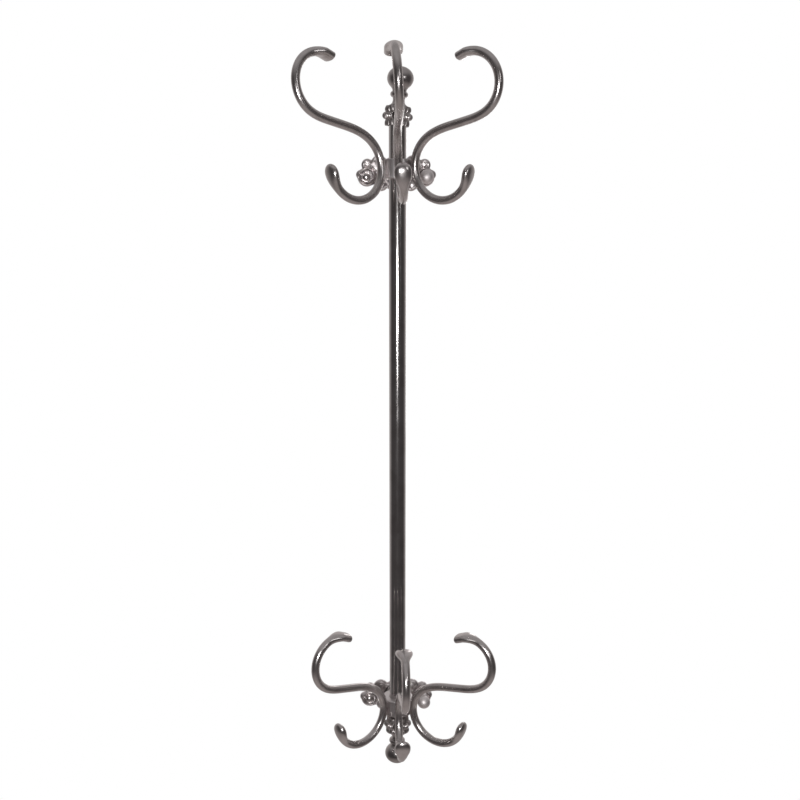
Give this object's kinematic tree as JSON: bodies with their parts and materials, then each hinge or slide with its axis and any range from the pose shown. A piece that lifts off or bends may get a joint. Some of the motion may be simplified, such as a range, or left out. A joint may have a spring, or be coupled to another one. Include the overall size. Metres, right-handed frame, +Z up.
{
  "type": "wall coat rack",
  "caption": "Wall-hung coat rack: a vertical chromed tube on two ornamental wall plates, with a crown of S-shaped hooks on a collar near each end and a ball finial at each tip.",
  "frame": {"origin": "centre of the upper wall plate's back face, on the wall", "axes": "+Z up along the tube, +Y out of the rack's back into the wall, +X to the right seen from the front"},
  "size_m": [0.2866, 0.2558, 1.0882],
  "materials": {
    "polished_chrome": "polished chrome plate on steel",
    "cast_chrome": "chrome plate on a casting, softer in its hollows",
    "bare_steel": "bright zinc-plated steel"
  },
  "bodies": {
    "root": {"main_tube": "polished_chrome", "upper_tube_plug": "bare_steel", "upper_finial_crown": "cast_chrome", "upper_finial_ball": "polished_chrome", "upper_finial_stud": "bare_steel", "upper_wall_plate": "cast_chrome", "upper_left_wall_screw": "cast_chrome", "upper_right_wall_screw": "cast_chrome", "upper_hook_collar": "polished_chrome", "upper_collar_grub_screw": "bare_steel", "upper_arm_screw": "bare_steel", "upper_left_hook": "polished_chrome", "upper_left_hook_screw": "bare_steel", "upper_front_hook": "polished_chrome", "upper_front_hook_screw": "bare_steel", "upper_right_hook": "polished_chrome", "upper_right_hook_screw": "bare_steel", "lower_tube_plug": "bare_steel", "lower_finial_crown": "cast_chrome", "lower_finial_ball": "polished_chrome", "lower_finial_stud": "bare_steel", "lower_wall_plate": "cast_chrome", "lower_left_wall_screw": "cast_chrome", "lower_right_wall_screw": "cast_chrome", "lower_hook_collar": "polished_chrome", "lower_collar_grub_screw": "bare_steel", "lower_arm_screw": "bare_steel", "lower_left_hook": "polished_chrome", "lower_left_hook_screw": "bare_steel", "lower_front_hook": "polished_chrome", "lower_front_hook_screw": "bare_steel", "lower_right_hook": "polished_chrome", "lower_right_hook_screw": "bare_steel"}
  },
  "joints": []
}
